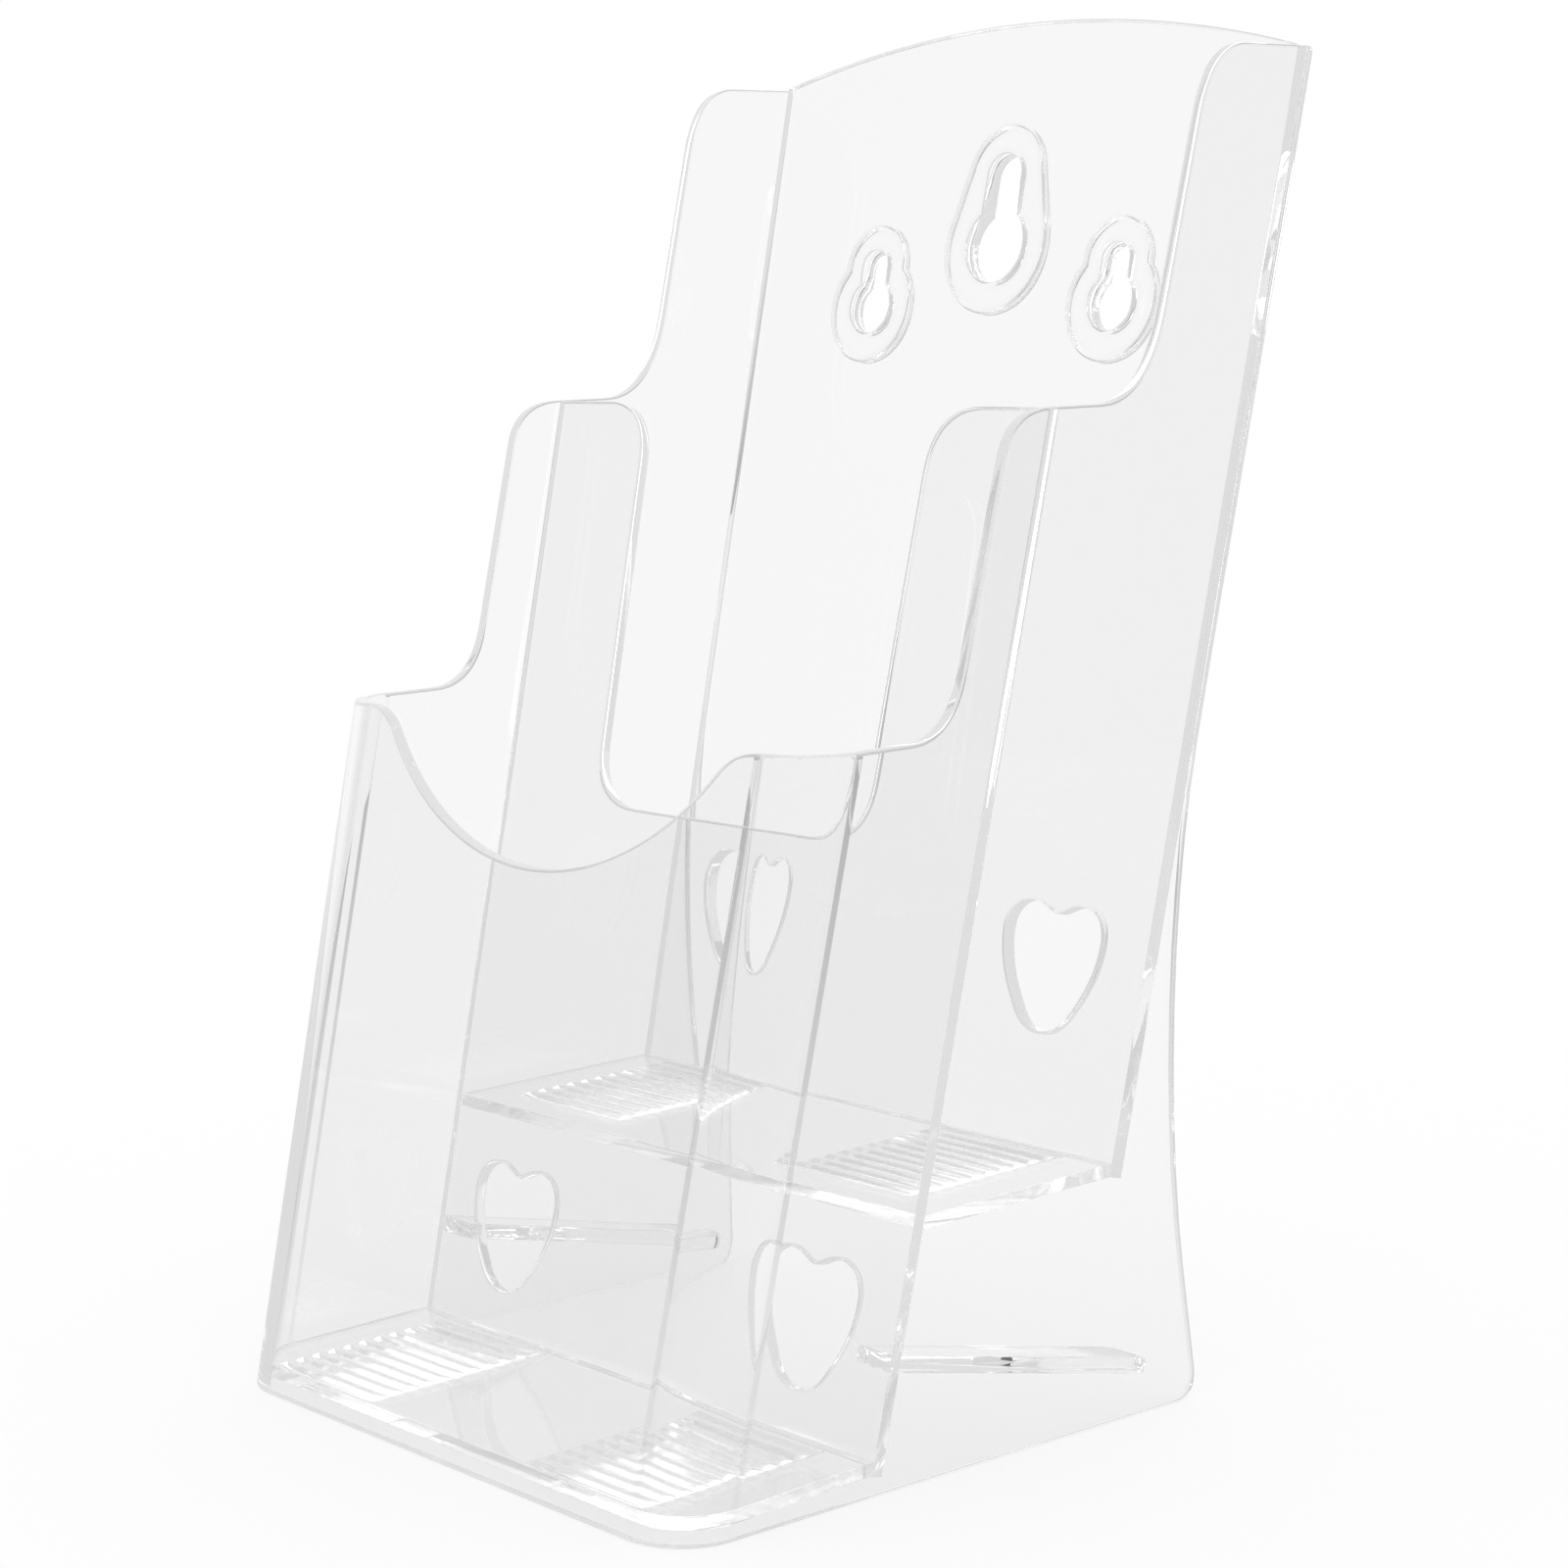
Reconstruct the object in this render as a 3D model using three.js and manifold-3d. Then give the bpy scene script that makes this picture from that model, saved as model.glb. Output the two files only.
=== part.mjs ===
// Two-tier leaflet rack in clear plastic. Millimetres, +Z up, front towards -Y, origin in the middle of
// the box around the rack, on the table.
//
// Everything is measured from the line where the front panel's outer face meets the table. The front,
// middle and back panels lean back by one angle, so each keeps a constant distance ("station") behind the
// front panel's outer face at every height. The side walls spread a little towards the top.
import * as THREE from "three";
import { mergeVertices } from "three/addons/utils/BufferGeometryUtils.js";
import Module from "manifold-3d";

const wasm = await Module();
wasm.setup();

// Driving dimensions
const sheet = 2.0; // thickness of the walls, floors and front and middle panels
const backSheet = 2.6; // thickness of the back panel
const gap = 0.1; // clearance between neighbouring pieces
const baseWidth = 107.6; // outside width at the table
const draft = 0.02; // outward spread of each side wall per millimetre of height
const leanAngle = THREE.MathUtils.degToRad(11.75); // backward lean of the three upright panels
const floorRise = 0.03; // climb of the floors and wall tops per millimetre rearwards
const middleStation = 38.69; // rear face of the middle panel
const backStation = 80.06; // rear face of the back panel
const rackHeight = 213.1; // top of the arched back panel
const archRadius = 218;

// Side wall steps: heights of the wall tops at the front line, and where the risers would meet the table
const tierHeights = [105.2, 150.3, 201.8];
const riserFeet = [25.1, 53.0];
const riserLean = 0.229; // rearward travel of a riser per millimetre of height
const heelY = 106.2; // rear foot of the side wall, before rounding
const heelTopZ = 21.6; // where the heel's straight edge ends and the waist begins
const heelLean = 0.2;
const waistTopZ = 103.6; // where the waist runs into the straight rear edge
const waistPull = 24; // how strongly the straight edges carry into the waist curve

// Rounding of the side wall's corners: how far the curve starts before a corner and ends after it, going
// round from the heel up the rear edge and down the steps to the front
const heelRun = { before: 5.5 };
const topRearRun = { before: 1.2 };
const crestRuns = [
  { before: 8.1, after: 7 },
  { before: 7.8, after: 11 },
];
const troughRuns = [
  { before: 10, after: 8 },
  { before: 14, after: 10 },
];

const cornerRadius = 10.2; // outside radius of the two upright front corners
const dipRadius = 47; // finger dip in the front panel
const dipBottomZ = 85.6;
const dipCornerRun = 5; // rounding on each side of the dip's two upper corners

const cutoutTopHalfWidth = 32.5; // U cut-out in the middle panel
const cutoutBottomHalfWidth = 30.5;
const cutoutBottomZ = 88.8;
const cutoutCornerRun = 10;
const heartSpacing = 67.6; // between the centre lines of a panel's two hearts
const heartWidth = 19.6;
const heartHeight = 19.7;
const middleHeartTipZ = 11.1;
const backHeartTipZ = 57.0;

// Right half of a heart from its rounded tip up to its notch: curve ends and their control points, as
// shares of half the width and of the height
const heartTip = [0, 0];
const heartCurves = [
  [0.24, 0, 0.42, 0.06, 0.56, 0.17],
  [0.78, 0.33, 1, 0.52, 1, 0.76],
  [1, 0.9, 0.8, 1, 0.52, 1],
  [0.28, 1, 0.16, 0.92, 0, 0.92],
];

const floorZ = 3.8; // floor surface at the front line
const shelfZ = 37.8; // shelf surface carried forward to the front line
const padInnerX = 18.7; // each rib pad runs sideways from here
const padWidth = 25.1;
const ribPitch = 2.93;
const ribCount = 11;
const ribHeight = 0.6;
const padBase = 0.3; // thickness of a pad under its ribs
const floorPadStart = 2.4; // stations where the rib pads begin
const shelfPadStart = 44.6;

const railWidth = 7.4; // rails on the side walls behind the middle panel
const railThickness = 2.5;
const railLength = 53;
const railZ = 16.8; // underside of a rail where it leaves the middle panel
const railCorner = 3;

const collarHeight = 0.4; // how far the collar round a keyhole stands proud of each face
// A keyhole is a round hole for the screw's head with a narrower slot above it. Its collar has the same
// form round the outer keyholes, and flares from slot to hole round the centre one.
const keyholes = [
  {
    name: "centre",
    x: 0,
    head: { z: 177.4, radius: 6.15, collarRadius: 10.9 },
    slot: { z: 188.6, radius: 3.6, collarRadius: 8.0 },
    flared: true,
  },
  {
    name: "left",
    x: -27.0,
    head: { z: 167.9, radius: 4.5, collarRadius: 9.05 },
    slot: { z: 174.5, radius: 2.75, collarRadius: 6.7 },
  },
  {
    name: "right",
    x: 27.0,
    head: { z: 167.9, radius: 4.5, collarRadius: 9.05 },
    slot: { z: 174.5, radius: 2.75, collarRadius: 6.7 },
  },
];

// Worked-out dimensions
const lean = Math.tan(leanAngle);
const leanSin = Math.sin(leanAngle);
const leanCos = Math.cos(leanAngle);
const sheetAlong = sheet / leanCos; // front-to-rear thickness of a leaning panel
const backSheetAlong = backSheet / leanCos;
const cutterDepth = 4 * sheet; // reaches well past both faces of a panel
const outerHalf = baseWidth / 2;
const innerHalf = outerHalf - sheet;
const frontTopZ = tierHeights[0] / (1 - floorRise * lean);
const depth = backStation + lean * rackHeight; // footprint box, front line to the top rear edge

const clearPlastic = { color: 0xeef1f2, roughness: 0.05, metalness: 0.0, transparent: true, opacity: 0.35 };

const rack = new THREE.Group();
rack.position.y = -depth / 2;

function addPiece(name, geometry, parent = rack) {
  const mesh = new THREE.Mesh(geometry, new THREE.MeshStandardMaterial(clearPlastic));
  mesh.name = name;
  parent.add(mesh);
  return mesh;
}

function extrude(shape, thickness, curveSegments = 12) {
  return new THREE.ExtrudeGeometry(shape, { depth: thickness, bevelEnabled: false, curveSegments });
}

// Moves every vertex to where the function says.
function remap(geometry, place) {
  const points = geometry.getAttribute("position");
  for (let i = 0; i < points.count; i++) {
    const [x, y, z] = place(points.getX(i), points.getY(i), points.getZ(i));
    points.setXYZ(i, x, y, z);
  }
  geometry.computeVertexNormals();
  return geometry;
}

// A closed outline through the corners; a corner with a run is rounded, the curve starting "before" it on
// one side and ending "after" it on the other.
function roundedOutline(corners) {
  const shape = new THREE.Shape();
  corners.forEach((corner, i) => {
    const here = new THREE.Vector2(corner.x, corner.y);
    const previous = corners[(i + corners.length - 1) % corners.length];
    const next = corners[(i + 1) % corners.length];
    const { before = 0, after = before } = corner;
    const start = new THREE.Vector2(previous.x, previous.y).sub(here).setLength(before).add(here);
    const end = new THREE.Vector2(next.x, next.y).sub(here).setLength(after).add(here);
    if (i === 0) shape.moveTo(start.x, start.y);
    else shape.lineTo(start.x, start.y);
    if (before > 0) shape.quadraticCurveTo(here.x, here.y, end.x, end.y);
    if (corner.then) corner.then(shape);
  });
  shape.closePath();
  return shape;
}

// manifold-3d solid from a closed geometry, and back
function toSolid(geometry) {
  const bare = new THREE.BufferGeometry();
  bare.setAttribute("position", geometry.getAttribute("position"));
  if (geometry.index) bare.setIndex(geometry.index);
  const merged = mergeVertices(bare, 1e-4);
  const vertProperties = new Float32Array(merged.getAttribute("position").array);
  const triVerts = new Uint32Array(merged.index.array);
  return new wasm.Manifold(new wasm.Mesh({ numProp: 3, vertProperties, triVerts }));
}

function toGeometry(solid) {
  const mesh = solid.getMesh();
  const geometry = new THREE.BufferGeometry();
  geometry.setAttribute("position", new THREE.BufferAttribute(mesh.vertProperties, 3));
  geometry.setIndex(new THREE.BufferAttribute(mesh.triVerts, 1));
  geometry.computeVertexNormals();
  return geometry;
}

// A frame that leans back with the panels: X sideways, Y up the panel, Z out of its front face. Its origin
// is where the panel's rear face would meet the table.
function panelFrame(station) {
  const frame = new THREE.Group();
  frame.position.y = station;
  frame.rotation.x = Math.PI / 2 - leanAngle;
  rack.add(frame);
  return frame;
}

// Distance up a leaning panel of the point on its front face at height z
function upPanel(z, thickness = sheet) {
  return (z - thickness * leanSin) / leanCos;
}

// Half the room between the side walls at height z
function innerHalfAt(z) {
  return innerHalf + draft * z - gap;
}

// Corner of the side wall where a wall top meets a riser
function stepCorner(tier, riser) {
  const y = (riserFeet[riser] + riserLean * tierHeights[tier]) / (1 - riserLean * floorRise);
  return { x: y, y: tierHeights[tier] + floorRise * y };
}

function sideWallOutline() {
  const rearTopZ = (tierHeights[2] + floorRise * backStation) / (1 - floorRise * lean);
  const rearAt = (z) => backStation + lean * z;
  const heelAt = (z) => heelY - heelLean * z;
  const waist = (shape) =>
    shape.bezierCurveTo(
      heelAt(heelTopZ + waistPull),
      heelTopZ + waistPull,
      rearAt(waistTopZ - waistPull),
      waistTopZ - waistPull,
      rearAt(waistTopZ),
      waistTopZ,
    );
  const cornerEnd = cornerRadius + gap;
  return roundedOutline([
    { x: cornerEnd, y: 0 },
    { x: heelY, y: 0, ...heelRun },
    { x: heelAt(heelTopZ), y: heelTopZ, then: waist },
    { x: rearAt(rearTopZ), y: rearTopZ, ...topRearRun },
    { ...stepCorner(2, 1), ...crestRuns[1] },
    { ...stepCorner(1, 1), ...troughRuns[1] },
    { ...stepCorner(1, 0), ...crestRuns[0] },
    { ...stepCorner(0, 0), ...troughRuns[0] },
    { x: cornerEnd + lean * (frontTopZ + floorRise * cornerEnd), y: frontTopZ + floorRise * cornerEnd },
  ]);
}

// The outline lies in the plane of the wall, and its thickness runs along X.
function addSideWall(name, side) {
  const wall = extrude(sideWallOutline(), sheet, 10);
  remap(wall, (along, up, across) => [along, up, across + side * draft * up]);
  const mesh = addPiece(name, wall);
  mesh.rotation.set(Math.PI / 2, Math.PI / 2, 0);
  mesh.position.x = side > 0 ? innerHalf : -outerHalf;
}

// The dip's outline up the front panel's face, open upwards past the panel's top edge
function dipOutline() {
  const top = upPanel(frontTopZ);
  const bottom = upPanel(dipBottomZ);
  const centre = bottom + dipRadius;
  const cornerX = Math.sqrt(dipRadius ** 2 - (centre - top) ** 2);
  const startAngle = Math.atan2(top - centre, -cornerX) + dipCornerRun / dipRadius;
  const endAngle = -Math.PI - startAngle;
  const shape = new THREE.Shape();
  shape.moveTo(-cornerX - dipCornerRun, top + cornerRadius);
  shape.lineTo(-cornerX - dipCornerRun, top);
  const arcX = dipRadius * Math.cos(startAngle);
  const arcY = centre + dipRadius * Math.sin(startAngle);
  shape.quadraticCurveTo(-cornerX, top, arcX, arcY);
  shape.absarc(0, centre, dipRadius, startAngle, endAngle, false);
  shape.quadraticCurveTo(cornerX, top, cornerX + dipCornerRun, top);
  shape.lineTo(cornerX + dipCornerRun, top + cornerRadius);
  shape.closePath();
  return shape;
}

// A level section with two rounded corners, drawn upwards while it leans back and widens
function addFrontPanel() {
  const innerRadius = cornerRadius - sheet;
  const arcX = outerHalf - cornerRadius;
  const section = new THREE.Shape();
  section.absarc(-arcX, cornerRadius, cornerRadius, Math.PI, 1.5 * Math.PI, false);
  section.absarc(arcX, cornerRadius, cornerRadius, -0.5 * Math.PI, 0, false);
  section.absarc(arcX, cornerRadius, innerRadius, 0, -0.5 * Math.PI, true);
  section.absarc(-arcX, cornerRadius, innerRadius, 1.5 * Math.PI, Math.PI, true);
  section.closePath();
  const body = remap(extrude(section, frontTopZ), (x, y, z) => {
    const height = z * (1 + (floorRise * y) / frontTopZ);
    return [x * (1 + (draft * height) / outerHalf), y + lean * height, height];
  });
  const cutter = extrude(dipOutline(), cutterDepth, 24);
  cutter.translate(0, 0, -sheet);
  cutter.rotateX(Math.PI / 2 - leanAngle);
  cutter.translate(0, sheetAlong, 0);
  addPiece("front_panel", toGeometry(toSolid(body).subtract(toSolid(cutter))));
}

// Lays a piece modelled on a level floor onto the rising floor of a pocket: x sideways, y the station.
function layOnFloor(geometry, surfaceZ) {
  return remap(geometry, (x, y, z) => {
    const height = surfaceZ + z + floorRise * y;
    return [x * (1 + (draft * height) / innerHalf), y + lean * height, height];
  });
}

function addPocketFloor() {
  const half = innerHalf - gap;
  const radius = cornerRadius - sheet - gap;
  const front = sheetAlong + gap;
  const rear = middleStation - sheetAlong - gap;
  const plan = new THREE.Shape();
  plan.moveTo(half, rear);
  plan.lineTo(-half, rear);
  plan.absarc(-half + radius, front + radius, radius, Math.PI, 1.5 * Math.PI, false);
  plan.absarc(half - radius, front + radius, radius, -0.5 * Math.PI, 0, false);
  plan.closePath();
  addPiece("pocket_floor", layOnFloor(extrude(plan, sheet).translate(0, 0, -sheet), floorZ));
}

function addUpperShelf() {
  const half = innerHalf - gap;
  const front = middleStation + gap;
  const rear = backStation - backSheetAlong - gap;
  const slab = new THREE.BoxGeometry(2 * half, rear - front, sheet);
  slab.translate(0, (front + rear) / 2, -sheet / 2);
  addPiece("upper_shelf", layOnFloor(slab, shelfZ));
}

// A thin plate topped with half-round ribs that run sideways
function addRibPad(name, side, start, surfaceZ) {
  const length = ribPitch * ribCount;
  const ribTop = padBase + ribHeight;
  const profile = new THREE.Shape();
  profile.moveTo(0, 0);
  profile.lineTo(length, 0);
  profile.lineTo(length, padBase);
  for (let i = ribCount; i > 0; i--) {
    const rear = i * ribPitch;
    const front = rear - ribPitch;
    profile.quadraticCurveTo(rear - ribPitch / 4, ribTop, rear - ribPitch / 2, ribTop);
    profile.quadraticCurveTo(front + ribPitch / 4, ribTop, front, padBase);
  }
  profile.closePath();
  const pad = extrude(profile, padWidth, 2);
  const nearX = side > 0 ? padInnerX : -padInnerX - padWidth;
  remap(pad, (along, up, across) => [nearX + across, start + along, up + gap]);
  addPiece(name, layOnFloor(pad, surfaceZ));
}

// Heart-shaped opening standing on its tip: up its right half, and down the left half in mirror image
function heartPath(x, tip) {
  const half = heartWidth / 2;
  const place = ([across, up]) => new THREE.Vector2(across * half, tip + up * heartHeight);
  const right = [];
  let start = heartTip;
  for (const [firstX, firstY, secondX, secondY, endX, endY] of heartCurves) {
    right.push([start, [firstX, firstY], [secondX, secondY], [endX, endY]].map(place));
    start = [endX, endY];
  }
  const path = new THREE.Path();
  path.moveTo(x, tip);
  for (const [, first, second, end] of right) {
    path.bezierCurveTo(x + first.x, first.y, x + second.x, second.y, x + end.x, end.y);
  }
  for (const [end, second, first] of right.reverse()) {
    path.bezierCurveTo(x - first.x, first.y, x - second.x, second.y, x - end.x, end.y);
  }
  return path;
}

function heartPair(tipZ, thickness) {
  return [-1, 1].map((side) => heartPath((side * heartSpacing) / 2, upPanel(tipZ, thickness)));
}

// From the underside of the pocket floor up to the level of the second wall top, with the U cut-out
function addMiddlePanel() {
  const station = middleStation - sheetAlong;
  const topZ = (tierHeights[1] + floorRise * station) / (1 - floorRise * lean);
  const bottomZ = floorZ + floorRise * station - sheet;
  const top = upPanel(topZ);
  const bottom = upPanel(bottomZ);
  const cutoutBottom = upPanel(cutoutBottomZ);
  const edge = { before: cutoutCornerRun };
  const shape = roundedOutline([
    { x: -innerHalfAt(bottomZ), y: bottom },
    { x: innerHalfAt(bottomZ), y: bottom },
    { x: innerHalfAt(topZ), y: top },
    { x: cutoutTopHalfWidth, y: top, ...edge },
    { x: cutoutBottomHalfWidth, y: cutoutBottom, ...edge },
    { x: -cutoutBottomHalfWidth, y: cutoutBottom, ...edge },
    { x: -cutoutTopHalfWidth, y: top, ...edge },
    { x: -innerHalfAt(topZ), y: top },
  ]);
  shape.holes.push(...heartPair(middleHeartTipZ, sheet));
  addPiece("middle_panel", extrude(shape, sheet), panelFrame(middleStation));
}

// Outline round two circles one above the other: along their common tangents if it is flared, and
// otherwise straight down from the sides of the upper circle to the lower one
function twoCirclePath(PathType, x, lowerRadius, upperRadius, keyhole, flared = false) {
  const lowerY = upPanel(keyhole.head.z, backSheet);
  const upperY = upPanel(keyhole.slot.z, backSheet);
  const tangent = Math.asin((lowerRadius - upperRadius) / (upperY - lowerY));
  const lowerEnd = flared ? tangent : Math.acos(upperRadius / lowerRadius);
  const upperEnd = flared ? tangent : 0;
  const path = new PathType();
  path.absarc(x, lowerY, lowerRadius, Math.PI - lowerEnd, 2 * Math.PI + lowerEnd, false);
  path.absarc(x, upperY, upperRadius, upperEnd, Math.PI - upperEnd, false);
  path.closePath();
  return path;
}

function collarPath(PathType, keyhole, margin = 0) {
  const { x, head, slot, flared } = keyhole;
  return twoCirclePath(PathType, x, head.collarRadius + margin, slot.collarRadius + margin, keyhole, flared);
}

function keyholePath(keyhole) {
  const { x, head, slot } = keyhole;
  return twoCirclePath(THREE.Path, x, head.radius, slot.radius, keyhole);
}

// From the underside of the upper shelf up to the arched top
function addBackPanel(frame) {
  const bottomZ = shelfZ + floorRise * backStation - sheet;
  const bottom = upPanel(bottomZ, backSheet);
  const arch = upPanel(rackHeight, backSheet) - archRadius;
  const shoulderZ = rackHeight - innerHalfAt(rackHeight) ** 2 / (2 * archRadius);
  const archStart = Math.acos(innerHalfAt(shoulderZ) / archRadius);
  const shape = new THREE.Shape();
  shape.moveTo(-innerHalfAt(bottomZ), bottom);
  shape.lineTo(innerHalfAt(bottomZ), bottom);
  shape.absarc(0, arch, archRadius, archStart, Math.PI - archStart, false);
  shape.closePath();
  shape.holes.push(...heartPair(backHeartTipZ, backSheet));
  shape.holes.push(...keyholes.map((keyhole) => collarPath(THREE.Path, keyhole, gap)));
  addPiece("back_panel", extrude(shape, backSheet, 20), frame);
}

function addKeyholeCollar(keyhole, frame) {
  const shape = collarPath(THREE.Shape, keyhole);
  shape.holes.push(keyholePath(keyhole));
  const collar = extrude(shape, backSheet + 2 * collarHeight, 20).translate(0, 0, -collarHeight);
  addPiece("keyhole_collar_" + keyhole.name, collar, frame);
}

// A flat rail along a side wall, square to the leaning middle panel, its free rear corner rounded
function addRail(name, side) {
  const plan = roundedOutline([
    { x: 0, y: 0 },
    { x: railWidth, y: 0 },
    { x: railWidth, y: railLength, before: railCorner },
    { x: 0, y: railLength },
  ]);
  const rail = extrude(plan, railThickness);
  if (side > 0) rail.rotateY(Math.PI).translate(0, 0, railThickness);
  const mesh = addPiece(name, rail);
  mesh.rotation.x = -leanAngle;
  mesh.position.set(side * innerHalf, middleStation + lean * railZ + gap, railZ);
}

addSideWall("left_side_wall", -1);
addSideWall("right_side_wall", 1);
addFrontPanel();
addPocketFloor();
addRibPad("floor_rib_pad_left", -1, floorPadStart, floorZ);
addRibPad("floor_rib_pad_right", 1, floorPadStart, floorZ);
addMiddlePanel();
addUpperShelf();
addRibPad("shelf_rib_pad_left", -1, shelfPadStart, shelfZ);
addRibPad("shelf_rib_pad_right", 1, shelfPadStart, shelfZ);
const backFrame = panelFrame(backStation);
addBackPanel(backFrame);
keyholes.forEach((keyhole) => addKeyholeCollar(keyhole, backFrame));
addRail("side_rail_left", -1);
addRail("side_rail_right", 1);

export default rack;
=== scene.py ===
import math

import bmesh
import bpy
from mathutils import Matrix, Vector
from mathutils.geometry import tessellate_polygon


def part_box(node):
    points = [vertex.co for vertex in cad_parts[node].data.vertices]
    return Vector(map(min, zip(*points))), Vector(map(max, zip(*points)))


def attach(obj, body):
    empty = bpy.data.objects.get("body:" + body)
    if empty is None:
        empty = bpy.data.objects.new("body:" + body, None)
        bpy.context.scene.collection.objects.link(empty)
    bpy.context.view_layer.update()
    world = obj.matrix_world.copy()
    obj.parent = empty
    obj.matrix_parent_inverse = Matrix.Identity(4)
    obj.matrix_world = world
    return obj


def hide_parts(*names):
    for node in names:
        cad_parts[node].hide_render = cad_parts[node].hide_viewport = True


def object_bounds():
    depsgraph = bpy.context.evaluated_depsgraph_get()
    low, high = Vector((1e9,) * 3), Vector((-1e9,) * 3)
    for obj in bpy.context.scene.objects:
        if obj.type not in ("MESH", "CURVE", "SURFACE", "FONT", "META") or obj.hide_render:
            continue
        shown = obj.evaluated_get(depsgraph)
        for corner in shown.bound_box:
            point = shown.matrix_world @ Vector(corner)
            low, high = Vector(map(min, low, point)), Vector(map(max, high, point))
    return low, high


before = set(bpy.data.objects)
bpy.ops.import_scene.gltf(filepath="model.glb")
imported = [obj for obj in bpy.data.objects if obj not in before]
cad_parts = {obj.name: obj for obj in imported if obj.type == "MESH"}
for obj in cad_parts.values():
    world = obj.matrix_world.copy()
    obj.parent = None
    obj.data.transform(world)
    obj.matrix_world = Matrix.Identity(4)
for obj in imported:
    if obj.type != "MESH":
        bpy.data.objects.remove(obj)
cad_low, cad_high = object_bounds()

# Everything below is in metres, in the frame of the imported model.
MM = 0.001
GAP = 0.1 * MM  # clearance between neighbouring CAD nodes
LAP = GAP + 0.05 * MM  # how far a joined edge reaches, so that neighbours meet without a film of air
SHEET = 2.0 * MM
LEAN_ANGLE = math.radians(11.75)
LEAN = math.tan(LEAN_ANGLE)
DRAFT = 0.02
FLOOR_RISE = 0.03
EDGE_ROUND = 0.45 * MM  # rounding of free edges
EDGE_STEPS = 4  # mesh rows over one rounding
QUARTER_TURN = math.pi / 2
WHITE = (1.0, 1.0, 1.0, 1.0)
FRONT_Y = cad_low.y  # the front panel's outer face meets the table here
OUTER_HALF = 53.8 * MM
INNER_HALF = OUTER_HALF - SHEET
CORNER_RADIUS = 10.2 * MM


# ---------------------------------------------------------------- materials

PAINTED_GLOW_MIRRORINGS = 6  # mirrorings after which a light path ends, and where the plastic gets its painted glow
WAVE_SCALE = 45.0  # flow waves per metre, roughly
WAVE_DEPTH = 1.0 * MM
SCRATCH_SCALE = (900.0, 900.0, 60.0)  # per metre: scratches are fine across and long up the rack
SCRATCH_DETAIL = 4.0
SCRATCH_RANGE = (0.55, 0.8)  # of the noise, from no scratch to a full one
DEPTH_GREY = (0.55, 0.56, 0.56, 1.0)
DEPTH_DENSITY = 2.0  # per metre


def map_range(nodes, from_range, to_range):
    """A Map Range node with both of its ranges set."""
    node = nodes.new("ShaderNodeMapRange")
    node.inputs["From Min"].default_value, node.inputs["From Max"].default_value = from_range
    node.inputs["To Min"].default_value, node.inputs["To Max"].default_value = to_range
    return node


def clear_plastic(name, ior=1.57, tint=0.965, roughness=0.015, wave=0.03, scratch=0.02, glow=0.8):
    """Clear moulded plastic: slow flow waves, fine handling scratches, a grey tint that deep edges show,
    and a painted glow: white emission where a light path ends after many mirrorings, standing in for the
    light that would be guided along inside the sheet."""
    material = bpy.data.materials.new(name)
    material.use_nodes = True
    nodes, links = material.node_tree.nodes, material.node_tree.links
    shader = nodes["Principled BSDF"]
    shader.inputs["Base Color"].default_value = (tint, tint, tint, 1.0)
    shader.inputs["IOR"].default_value = ior
    shader.inputs["Transmission Weight"].default_value = 1.0
    place = nodes.new("ShaderNodeTexCoord")

    wave_noise = nodes.new("ShaderNodeTexNoise")
    wave_noise.inputs["Scale"].default_value = WAVE_SCALE
    wave_noise.inputs["Detail"].default_value = 1.0
    links.new(place.outputs["Object"], wave_noise.inputs["Vector"])
    wave_bump = nodes.new("ShaderNodeBump")
    wave_bump.inputs["Strength"].default_value = wave
    wave_bump.inputs["Distance"].default_value = WAVE_DEPTH
    links.new(wave_noise.outputs["Fac"], wave_bump.inputs["Height"])
    links.new(wave_bump.outputs["Normal"], shader.inputs["Normal"])

    stretch = nodes.new("ShaderNodeMapping")
    stretch.inputs["Scale"].default_value = SCRATCH_SCALE
    links.new(place.outputs["Object"], stretch.inputs["Vector"])
    scratches = nodes.new("ShaderNodeTexNoise")
    scratches.inputs["Scale"].default_value = 1.0
    scratches.inputs["Detail"].default_value = SCRATCH_DETAIL
    links.new(stretch.outputs["Vector"], scratches.inputs["Vector"])
    rough = map_range(nodes, SCRATCH_RANGE, (roughness, roughness + scratch))
    links.new(scratches.outputs["Fac"], rough.inputs["Value"])
    links.new(rough.outputs["Result"], shader.inputs["Roughness"])

    depth = nodes.new("ShaderNodeVolumeAbsorption")
    depth.inputs["Color"].default_value = DEPTH_GREY
    depth.inputs["Density"].default_value = DEPTH_DENSITY
    links.new(depth.outputs["Volume"], nodes["Material Output"].inputs["Volume"])

    # Painted glow: the plastic emits white of strength glow where a path reaches its last mirroring, in
    # place of the light that the cut-off path would still bring.
    path = nodes.new("ShaderNodeLightPath")
    at_painted_glow = nodes.new("ShaderNodeMath")
    at_painted_glow.operation = "COMPARE"
    mirrorings, wanted, tolerance = at_painted_glow.inputs
    wanted.default_value = PAINTED_GLOW_MIRRORINGS
    tolerance.default_value = 0.5
    links.new(path.outputs["Glossy Depth"], mirrorings)
    painted_glow_strength = nodes.new("ShaderNodeMath")
    painted_glow_strength.operation = "MULTIPLY"
    painted_glow_strength.inputs[1].default_value = glow
    links.new(at_painted_glow.outputs["Value"], painted_glow_strength.inputs[0])
    shader.inputs["Emission Color"].default_value = WHITE
    links.new(painted_glow_strength.outputs["Value"], shader.inputs["Emission Strength"])
    material.cycles.emission_sampling = "NONE"
    return material


# glow is the strength of each plastic's painted glow.
PANEL = clear_plastic("clear_panel")
RIBBED = clear_plastic("clear_ribbed", roughness=0.03, wave=0.02, glow=0.5)
COLLAR = clear_plastic("clear_collar", wave=0.02, glow=0.95)


# ---------------------------------------------------------------- mesh helpers

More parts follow.
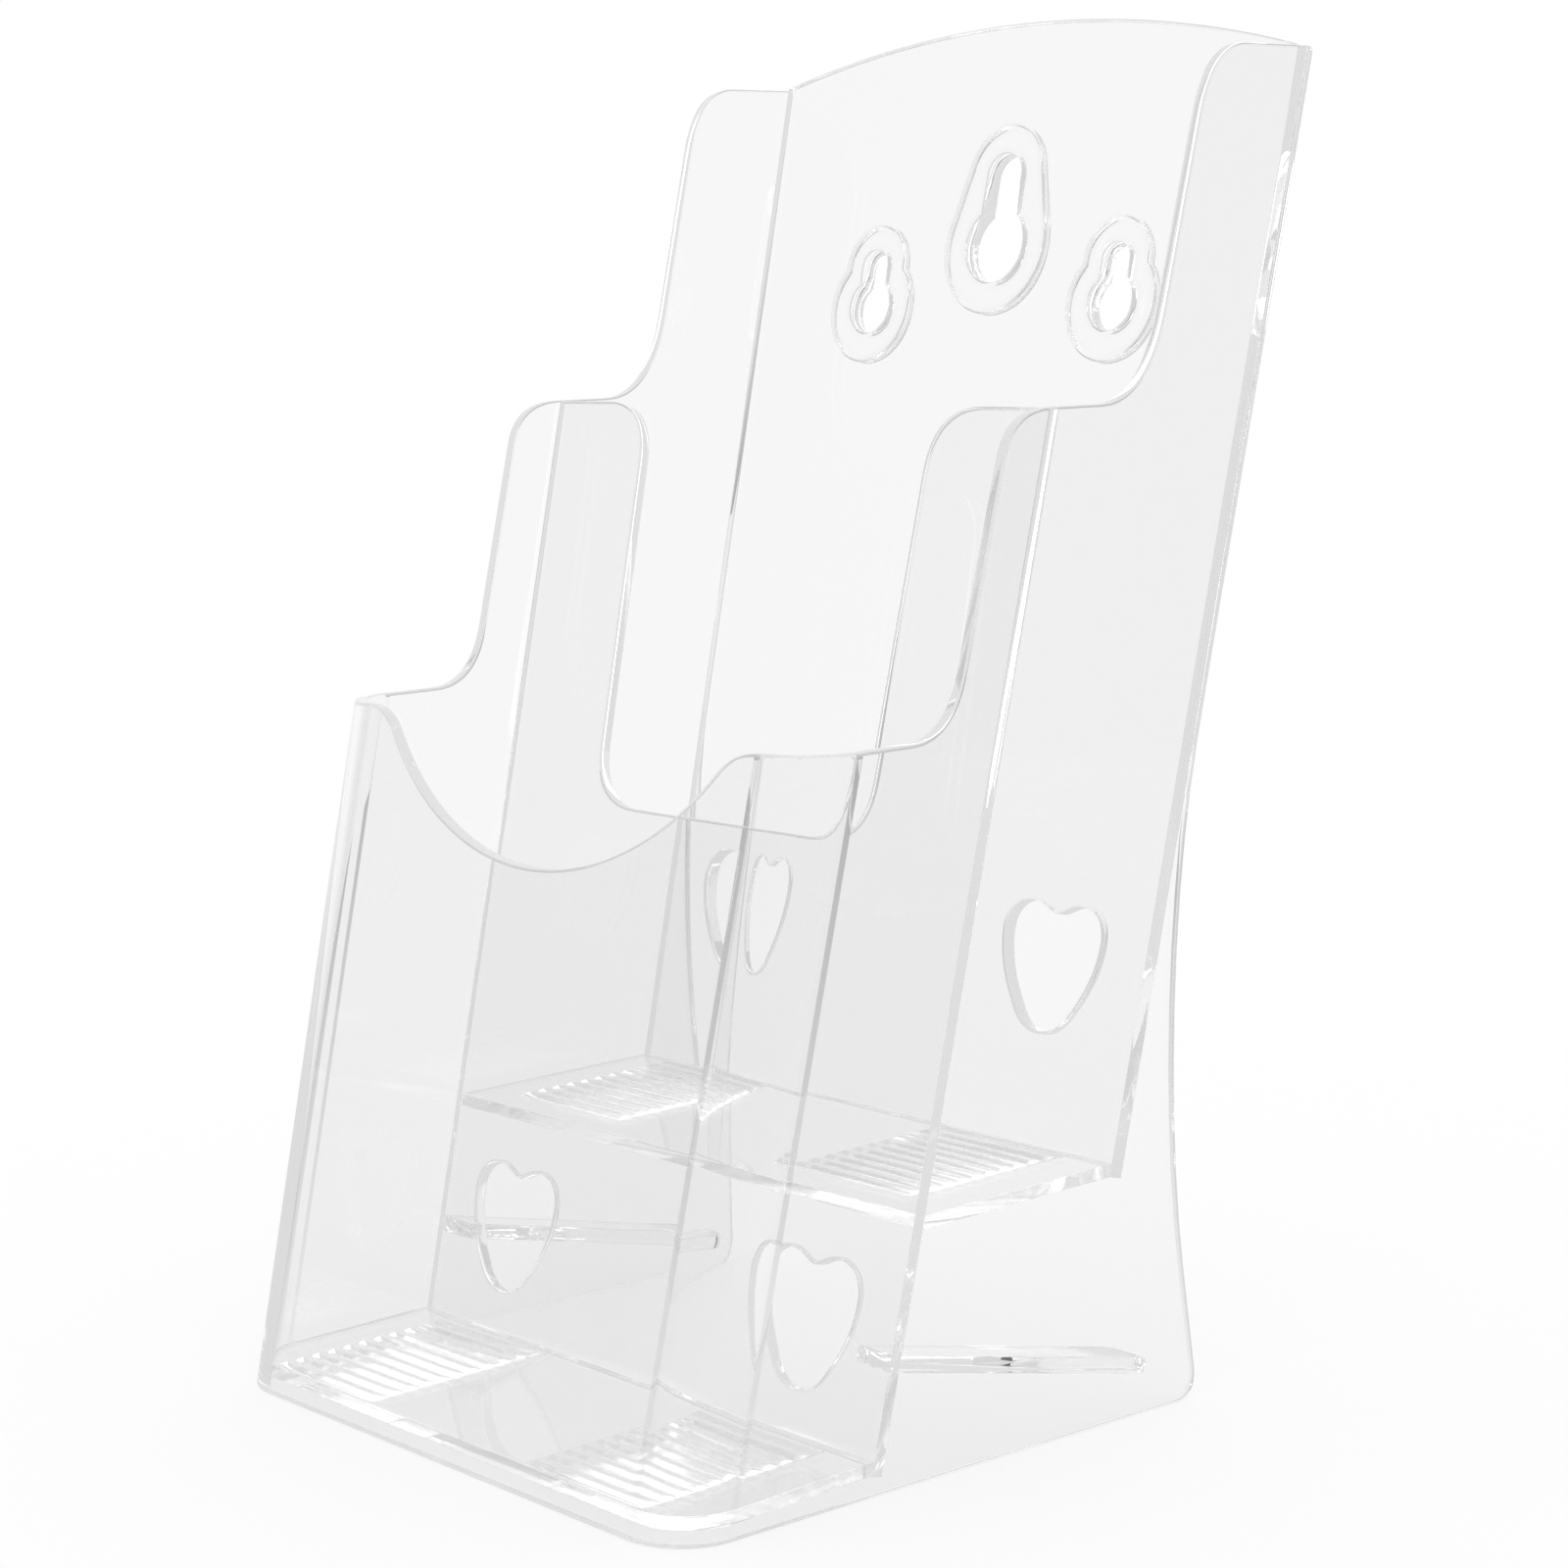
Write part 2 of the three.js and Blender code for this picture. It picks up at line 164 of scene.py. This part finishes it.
WELD = 0.002 * MM  # CAD vertices closer than this are one
FLATNESS = 0.02 * MM  # how far a vertex may be off a plane and still count as lying in it
SHORTEST_SIDE = 0.02 * MM  # sides of a CAD outline shorter than this are left out
STRAIGHT_TURN = 0.004  # radians: an outline that turns less than this is straight
STRAIGHT_SPREAD = 0.97  # cosine of a corner's turn, above which its two sides are nearly in line
FREE_RIM = (EDGE_ROUND, EDGE_ROUND, 0.0)  # across, down, and reach past the outline


def add_piece(name, bm, material, *nodes):
    bmesh.ops.recalc_face_normals(bm, faces=bm.faces)
    mesh = bpy.data.meshes.new(name)
    bm.to_mesh(mesh)
    bm.free()
    mesh.materials.append(material)
    piece = bpy.data.objects.new(name, mesh)
    bpy.context.scene.collection.objects.link(piece)
    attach(piece, "root")
    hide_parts(*nodes)
    return piece


def cap_loops(node):
    """The largest flat face of a plate-like CAD node: its normal, its outlines with the material on their
    left, and the plate's thickness."""
    bm = bmesh.new()
    bm.from_mesh(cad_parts[node].data)
    bmesh.ops.remove_doubles(bm, verts=bm.verts, dist=WELD)
    bm.normal_update()
    bm.verts.index_update()
    bm.verts.ensure_lookup_table()
    largest = max(bm.faces, key=lambda face: face.calc_area())
    normal = largest.normal.copy()
    level = normal.dot(largest.verts[0].co)
    sides = []
    for face in bm.faces:
        if all(abs(normal.dot(vertex.co) - level) < FLATNESS for vertex in face.verts):
            sides += [(corner.vert.index, corner.link_loop_next.vert.index) for corner in face.loops]
    inner = set(sides)
    following = {a: b for a, b in sides if (b, a) not in inner}
    loops = []
    while following:
        vertex = min(following)
        loop = []
        while vertex in following:
            loop.append(bm.verts[vertex].co.copy())
            vertex = following.pop(vertex)
        loops.append(loop)
    thickness = max(level - normal.dot(vertex.co) for vertex in bm.verts)
    bm.free()
    loops.sort(key=lambda loop: -loop_length(loop))
    return normal, [refine(loop) for loop in loops], thickness


def loop_length(loop):
    return sum((b - a).length for a, b in zip(loop, loop[1:] + loop[:1]))


def refine(loop, longest=6 * MM, sharpest=math.radians(24)):
    """Rounds a faceted outline: where it turns gently over short sides, each side gets two more points."""
    loop = [here for i, here in enumerate(loop) if (loop[i - 1] - here).length > SHORTEST_SIDE]
    count = len(loop)

    def direction(i):
        return (loop[(i + 1) % count] - loop[i % count]).normalized()

    def turn(i):
        return direction(i - 1).angle(direction(i))

    def side(i):
        return (loop[(i + 1) % count] - loop[i % count]).length

    refined = []
    for i in range(count):
        here, there = loop[i], loop[(i + 1) % count]
        refined.append(here)
        gentle = max(turn(i), turn(i + 1)) < sharpest
        straight = max(turn(i), turn(i + 1)) <= STRAIGHT_TURN
        if side(i) > longest or straight or not gentle:
            continue
        start = direction(i) if side(i - 1) > longest else (direction(i - 1) + direction(i)).normalized()
        end = direction(i) if side(i + 1) > longest else (direction(i) + direction(i + 1)).normalized()
        for t in (1 / 3, 2 / 3):
            # A cubic curve from here to there that leaves along start and arrives along end.
            from_here, from_start = 2 * t**3 - 3 * t**2 + 1, t**3 - 2 * t**2 + t
            from_there, from_end = -2 * t**3 + 3 * t**2, t**3 - t**2
            bend = from_start * side(i) * start
            refined.append(from_here * here + bend + from_there * there + from_end * side(i) * end)
    return refined


def corner_shift(before, after, first, second):
    """How far a corner moves in the plate's plane when its two sides move inwards by first and second."""
    spread = before.dot(after)
    if spread > STRAIGHT_SPREAD:
        return (before * first + after * second) / (1 + spread)
    scale = 1 / (1 - spread * spread)
    return scale * ((first - spread * second) * before + (second - spread * first) * after)


def rim_profile(across, down, reach, thickness):
    """A plate's rim from its front face to its rear one, as distances in from the outline and depths."""
    quarter = [step / EDGE_STEPS * QUARTER_TURN for step in range(EDGE_STEPS + 1)]
    front = [(across * (1 - math.sin(angle)) - reach, down * (1 - math.cos(angle))) for angle in quarter]
    return front + [(inset, thickness - sink) for inset, sink in reversed(front)]


def nowhere(point):
    return False


def everywhere(point):
    return True


def plate(node, joined=nowhere, outline_rim=FREE_RIM, opening_rim=FREE_RIM, open_joints=False):
    """A plate with rounded rims from a CAD node's outlines. joined(point) is True where an edge meets a
    neighbour: it stays square there and reaches LAP into it, or ends open at the outline if open_joints
    is set. A rim is how far its rounding goes across and down, and how far it reaches past the outline."""
    normal, loops, thickness = cap_loops(node)
    joint = 0.0 if open_joints else -LAP
    bm = bmesh.new()
    front_caps, rear_caps = [], []
    for loop in loops:
        rim = outline_rim if loop is loops[0] else opening_rim
        count = len(loop)
        inwards = [normal.cross((loop[(i + 1) % count] - loop[i]).normalized()) for i in range(count)]
        meets = [joined(point) for point in loop]
        side_meets = [meets[i] and meets[(i + 1) % count] for i in range(count)]
        rings = []
        for inset, sink in rim_profile(*rim, thickness):
            shifts = [joint if meeting else inset for meeting in side_meets]
            ring = []
            for i, point in enumerate(loop):
                shift = corner_shift(inwards[i - 1], inwards[i], shifts[i - 1], shifts[i])
                ring.append(bm.verts.new(point + shift - sink * normal))
            rings.append(ring)
        for upper, lower in zip(rings, rings[1:]):
            for i in range(count):
                if open_joints and side_meets[i]:
                    continue
                j = (i + 1) % count
                bm.faces.new((upper[i], lower[i], lower[j], upper[j])).smooth = True
        front_caps.append(rings[0])
        rear_caps.append(rings[-1])
    for caps in (front_caps, rear_caps):
        everyone = [vertex for ring in caps for vertex in ring]
        for triangle in tessellate_polygon([[vertex.co for vertex in ring] for ring in caps]):
            corners = [everyone[k] for k in triangle]
            if caps is rear_caps:
                corners.reverse()
            bm.faces.new(corners).smooth = False
    return bm


# ---------------------------------------------------------------- front panel

DIP_RADIUS = 47 * MM
DIP_BOTTOM = 85.6 * MM
DIP_CORNER = 5 * MM
TIER_TOP = 105.2 * MM
FRONT_TOP = TIER_TOP / (1 - FLOOR_RISE * LEAN)
ARC_COLUMNS = 32  # mesh columns round one upright corner
FRONT_COLUMNS = 160  # mesh columns across the flat front
HALVINGS = 40  # of the range in which the dip's corner curve is searched
FRONTAL = 0.01  # sideways share of a normal, below which it points straight forwards


def dip_height(x):
    """Height of the front panel's top edge at x."""
    across = abs(x)
    steep = math.cos(LEAN_ANGLE)
    rise = (FRONT_TOP - DIP_BOTTOM) / steep
    corner = math.sqrt(DIP_RADIUS**2 - (DIP_RADIUS - rise) ** 2)
    if across >= corner + DIP_CORNER:
        return FRONT_TOP
    start = math.asin(corner / DIP_RADIUS) - DIP_CORNER / DIP_RADIUS
    join = Vector((DIP_RADIUS * math.sin(start), DIP_RADIUS * (1 - math.cos(start))))
    if across <= join.x:
        up = DIP_RADIUS - math.sqrt(DIP_RADIUS**2 - across**2)
    else:
        peak, end = Vector((corner, rise)), Vector((corner + DIP_CORNER, rise))
        low, high = 0.0, 1.0
        for _ in range(HALVINGS):
            t = (low + high) / 2
            spot = join.lerp(peak, t).lerp(peak.lerp(end, t), t)
            low, high = (t, high) if spot.x < across else (low, t)
        up = spot.y
    return DIP_BOTTOM + up * steep


def front_section():
    """Points along the middle of the sheet seen from above, each with its outward normal."""
    arc_x = OUTER_HALF - CORNER_RADIUS
    middle = CORNER_RADIUS - SHEET / 2

    def arc(centre_x, first_angle):
        points = []
        for i in range(ARC_COLUMNS + 1):
            angle = first_angle + i / ARC_COLUMNS * QUARTER_TURN
            normal = Vector((math.cos(angle), math.sin(angle)))
            points.append((Vector((centre_x, CORNER_RADIUS)) + middle * normal, normal))
        return points

    shares = [i / FRONT_COLUMNS for i in range(1, FRONT_COLUMNS)]
    straight = [(Vector((arc_x * (2 * share - 1), SHEET / 2)), Vector((0, -1))) for share in shares]
    return arc(-arc_x, math.pi) + straight + arc(arc_x, 1.5 * math.pi)


def lean_back(point):
    """Widens and leans a point of the upright front section, its ends in line with the side walls."""
    height = point.z * (1 + FLOOR_RISE * point.y / FRONT_TOP)
    share = max(-1.0, min(1.0, point.x / INNER_HALF))
    return Vector((point.x + share * DRAFT * height, FRONT_Y + point.y + LEAN * height, height))


def sheet_rim(top):
    """Half of the upright sheet's cross-section from its foot to its top edge: distances from the middle
    of the sheet and heights. The points just past each rounding keep the tall face between them true."""
    half = SHEET / 2 - EDGE_ROUND
    quarter = [step / EDGE_STEPS * QUARTER_TURN for step in range(EDGE_STEPS + 1)]
    foot = [(half + EDGE_ROUND * math.sin(a), EDGE_ROUND * (1 - math.cos(a))) for a in quarter]
    support = [(SHEET / 2, 2 * EDGE_ROUND), (SHEET / 2, top - 2 * EDGE_ROUND)]
    return foot + support + [(across, top - up) for across, up in reversed(foot)]


def front_sheet():
    """The front panel and its two corners, open at both ends."""
    bm = bmesh.new()
    rings = []
    for middle, normal in front_section():
        straight = abs(normal.x) < FRONTAL
        rim = sheet_rim(dip_height(middle.x) if straight else FRONT_TOP)
        ring = []
        for across, z in rim + [(-across, z) for across, z in reversed(rim)]:
            spot = middle + across * normal
            ring.append(bm.verts.new(lean_back(Vector((spot.x, spot.y, z)))))
        rings.append((ring, straight))
    for (left, left_straight), (right, right_straight) in zip(rings, rings[1:]):
        count = len(left)
        for i in range(count):
            j = (i + 1) % count
            face = bm.faces.new((left[i], left[j], right[j], right[i]))
            # The three faces of a side between its two roundings: they stay flat where the front is.
            upright = EDGE_STEPS <= min(i, count - 2 - i) < EDGE_STEPS + 3
            face.smooth = not (upright and left_straight and right_straight)
    return bm


def wrapped_shell():
    """Side walls and front panel as one sheet that runs unbroken round the two upright corners."""
    bm = front_sheet()
    for node in ("left_side_wall", "right_side_wall"):
        wall = plate(node, meets_front_corner, open_joints=True)
        mesh = bpy.data.meshes.new(node + "_draft")
        wall.to_mesh(mesh)
        wall.free()
        bm.from_mesh(mesh)
        bpy.data.meshes.remove(mesh)
    for side in (-1, 1):
        edges = [edge for edge in bm.edges if edge.is_boundary and side * edge.verts[0].co.x > 0]
        for face in bmesh.ops.bridge_loops(bm, edges=edges)["faces"]:
            face.smooth = True
    for vertex in bm.verts:
        vertex.co.z = max(vertex.co.z, 0.0)
    return bm


# ---------------------------------------------------------------- ribs

RIB_COUNT = 11
RIB_HEIGHT = 0.4 * MM
RIB_STEPS = 10  # mesh rows per rib
END_COLUMNS = 6  # mesh columns over a rib's rounded end
END_LENGTH = 0.9 * MM
PAD_HEIGHT = 0.9 * MM  # of the CAD pad, its plate and ribs together
RIB_BASE = 0.05 * MM  # how far the valleys between the ribs are above the floor
RIB_FULLNESS = 0.8  # power of the sine that a rib's section follows


def rib_pad(node):
    """Half-round ribs across a pocket floor, fading into it at both ends."""
    low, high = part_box(node)
    rows = RIB_COUNT * RIB_STEPS
    fades = [i / END_COLUMNS for i in range(END_COLUMNS + 1)]
    columns = [(low.x + END_LENGTH * f, math.sin(f * QUARTER_TURN)) for f in fades]
    columns += [(high.x - END_LENGTH * f, math.sin(f * QUARTER_TURN)) for f in reversed(fades)]
    travel = high.y - low.y - LEAN * PAD_HEIGHT
    bm = bmesh.new()
    top, bottom = [], []
    for row in range(rows + 1):
        along = row / rows
        y = low.y + along * travel
        base = low.z + along * travel * FLOOR_RISE
        ridge = RIB_HEIGHT * abs(math.sin(math.pi * along * RIB_COUNT)) ** RIB_FULLNESS
        top.append([bm.verts.new((x, y, base + RIB_BASE + ridge * fade)) for x, fade in columns])
        bottom.append([bm.verts.new((x, y, base - LAP)) for x, fade in columns])
    for row in range(rows):
        for k in range(len(columns) - 1):
            bm.faces.new((top[row][k], top[row][k + 1], top[row + 1][k + 1], top[row + 1][k]))
            bm.faces.new((bottom[row][k], bottom[row + 1][k], bottom[row + 1][k + 1], bottom[row][k + 1]))
        for k in (0, -1):
            bm.faces.new((top[row][k], top[row + 1][k], bottom[row + 1][k], bottom[row][k]))
    for row in (0, -1):
        for k in range(len(columns) - 1):
            bm.faces.new((top[row][k], top[row][k + 1], bottom[row][k + 1], bottom[row][k]))
    for face in bm.faces:
        face.smooth = True
    return bm


# ---------------------------------------------------------------- the rack

JOIN_BAND = 3 * GAP  # an edge this close to a neighbour's face meets it
FOOT_BAND = 1.0 * MM  # and so does the end of a panel or rail, over this length
MIDDLE_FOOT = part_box("middle_panel")[0].z + FOOT_BAND
BACK_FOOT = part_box("back_panel")[0].z + FOOT_BAND
RAIL_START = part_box("side_rail_left")[0].y + FOOT_BAND
COLLAR_ACROSS = 0.9 * MM
COLLAR_DOWN = 0.35 * MM
COLLAR_OUTLINE = (COLLAR_ACROSS, COLLAR_DOWN, LAP)  # reaches into the back panel round it
COLLAR_OPENING = (COLLAR_ACROSS, COLLAR_DOWN, 0.0)


def near_wall(point):
    return abs(point.x) > INNER_HALF + DRAFT * point.z - JOIN_BAND


def meets_front_corner(point):
    station = point.y - FRONT_Y - LEAN * point.z
    return station < CORNER_RADIUS + JOIN_BAND


def middle_panel_joins(point):
    return near_wall(point) or point.z < MIDDLE_FOOT


def back_panel_joins(point):
    return near_wall(point) or point.z < BACK_FOOT


def rail_joins(point):
    return abs(point.x) > INNER_HALF - GAP or point.y < RAIL_START


add_piece(
    "wrapped_shell_visual", wrapped_shell(), PANEL, "left_side_wall", "front_panel", "right_side_wall"
)
add_piece("pocket_floor_visual", plate("pocket_floor", everywhere), PANEL, "pocket_floor")
add_piece("middle_panel_visual", plate("middle_panel", middle_panel_joins), PANEL, "middle_panel")
add_piece("upper_shelf_visual", plate("upper_shelf", everywhere), PANEL, "upper_shelf")
add_piece("back_panel_visual", plate("back_panel", back_panel_joins), PANEL, "back_panel")
for name in ("keyhole_collar_centre", "keyhole_collar_left", "keyhole_collar_right"):
    add_piece(name + "_visual", plate(name, nowhere, COLLAR_OUTLINE, COLLAR_OPENING), COLLAR, name)
for name in ("floor_rib_pad_left", "floor_rib_pad_right", "shelf_rib_pad_left", "shelf_rib_pad_right"):
    add_piece(name + "_visual", rib_pad(name), RIBBED, name)
for name in ("side_rail_left", "side_rail_right"):
    add_piece(name + "_visual", plate(name, rail_joins), PANEL, name)


# ---------------------------------------------------------------- floor, light and camera

FLOOR_RADIUS = 0.75
FLOOR_SEGMENTS = 128
FLOOR_DROP = 0.02 * MM  # how far the floor is below the rack, so that their faces don't coincide
FLOOR_ROUGHNESS = 0.9
FLOOR_DIFFUSE = 0.15  # share of the floor's white that is lit from above; the rest is a light table
SWEEP = 1.0  # radiance of the white sweep, and about that of the floor, seen straight or through plastic
ROOM = 0.68  # radiance of the room on the other sides, as the plastic mirrors it
MIRRORED_FLOOR = 0.78  # radiance of the floor, as the plastic mirrors it
SWEEP_EDGE = (0.3, 0.8)  # cosines of the angle from BACKWARDS, from the plain room to the full sweep
UNMIRRORED_TO_MIRRORED = (0.0, 1.0)  # mirrorings, where one or more count the same
VIEW_AZIMUTH = math.radians(47.86)
BACKWARDS = Vector((-math.sin(VIEW_AZIMUTH), math.cos(VIEW_AZIMUTH), 0.0))  # towards the full sweep
VIEW_PITCH = math.radians(7.23)
CAMERA_DISTANCE = 509.8 * MM
AIM_RIGHT = 4.67 * MM  # the point aimed at is this far from the middle of the CAD's box
AIM_DOWN = 12.36 * MM
LENS_MM = 76.17
SENSOR_MM = 36.0
CLIP_RANGE = (0.01, 50.0)
LONGEST_PATH = 48  # bounces, for the many faces that a view through the rack crosses


def add_floor():
    bm = bmesh.new()
    bmesh.ops.create_circle(bm, cap_ends=True, radius=FLOOR_RADIUS, segments=FLOOR_SEGMENTS)
    mesh = bpy.data.meshes.new("studio_floor")
    bm.to_mesh(mesh)
    bm.free()
    material = bpy.data.materials.new("pale_floor")
    material.use_nodes = True
    nodes, links = material.node_tree.nodes, material.node_tree.links
    shader = nodes["Principled BSDF"]
    shader.inputs["Roughness"].default_value = FLOOR_ROUGHNESS
    shader.inputs["Specular IOR Level"].default_value = 0.0
    shader.inputs["Base Color"].default_value = (FLOOR_DIFFUSE, FLOOR_DIFFUSE, FLOOR_DIFFUSE, 1.0)
    shader.inputs["Emission Color"].default_value = WHITE
    path = nodes.new("ShaderNodeLightPath")
    glows = (SWEEP - FLOOR_DIFFUSE, MIRRORED_FLOOR - FLOOR_DIFFUSE)
    glow = map_range(nodes, UNMIRRORED_TO_MIRRORED, glows)
    links.new(path.outputs["Glossy Depth"], glow.inputs["Value"])
    links.new(glow.outputs["Result"], shader.inputs["Emission Strength"])
    material.cycles.emission_sampling = "NONE"
    mesh.materials.append(material)
    floor = bpy.data.objects.new("studio_floor", mesh)
    floor.location.z = -FLOOR_DROP
    bpy.context.scene.collection.objects.link(floor)


def add_light():
    """Bright-field lighting of clear plastic: a white sweep is all that is seen straight or through the
    plastic. What the plastic mirrors is the sweep behind it and a dimmer room on the other sides."""
    world = bpy.data.worlds.new("white_sweep")
    bpy.context.scene.world = world
    world.use_nodes = True
    nodes, links = world.node_tree.nodes, world.node_tree.links
    background = nodes["Background"]
    background.inputs["Color"].default_value = WHITE
    place = nodes.new("ShaderNodeTexCoord")
    facing = nodes.new("ShaderNodeVectorMath")
    facing.operation = "DOT_PRODUCT"
    facing.inputs[1].default_value = BACKWARDS
    links.new(place.outputs["Generated"], facing.inputs[0])
    mirrored = map_range(nodes, SWEEP_EDGE, (ROOM, SWEEP))
    links.new(facing.outputs["Value"], mirrored.inputs["Value"])
    path = nodes.new("ShaderNodeLightPath")
    seen = map_range(nodes, UNMIRRORED_TO_MIRRORED, (SWEEP, ROOM))
    links.new(path.outputs["Glossy Depth"], seen.inputs["Value"])
    links.new(mirrored.outputs["Result"], seen.inputs["To Max"])
    links.new(seen.outputs["Result"], background.inputs["Strength"])
    world.cycles.sampling_method = "NONE"


def add_camera():
    forward = math.cos(VIEW_PITCH) * BACKWARDS - math.sin(VIEW_PITCH) * Vector((0.0, 0.0, 1.0))
    right = Vector((math.cos(VIEW_AZIMUTH), math.sin(VIEW_AZIMUTH), 0.0))
    up = right.cross(forward)
    centre = (cad_low + cad_high) / 2
    data = bpy.data.cameras.new("camera")
    data.sensor_width = SENSOR_MM
    data.lens = LENS_MM
    data.clip_start, data.clip_end = CLIP_RANGE
    camera = bpy.data.objects.new("camera", data)
    place = centre + AIM_RIGHT * right - AIM_DOWN * up - CAMERA_DISTANCE * forward
    turn = Matrix((right, up, -forward)).transposed().to_4x4()
    camera.matrix_world = Matrix.Translation(place) @ turn
    bpy.context.scene.collection.objects.link(camera)
    bpy.context.scene.camera = camera


add_floor()
add_light()
add_camera()

scene = bpy.context.scene
scene.view_settings.view_transform = "Standard"
scene.cycles.max_bounces = LONGEST_PATH
scene.cycles.transmission_bounces = LONGEST_PATH
scene.cycles.glossy_bounces = PAINTED_GLOW_MIRRORINGS
scene.cycles.caustics_reflective = False

bpy.context.view_layer.update()
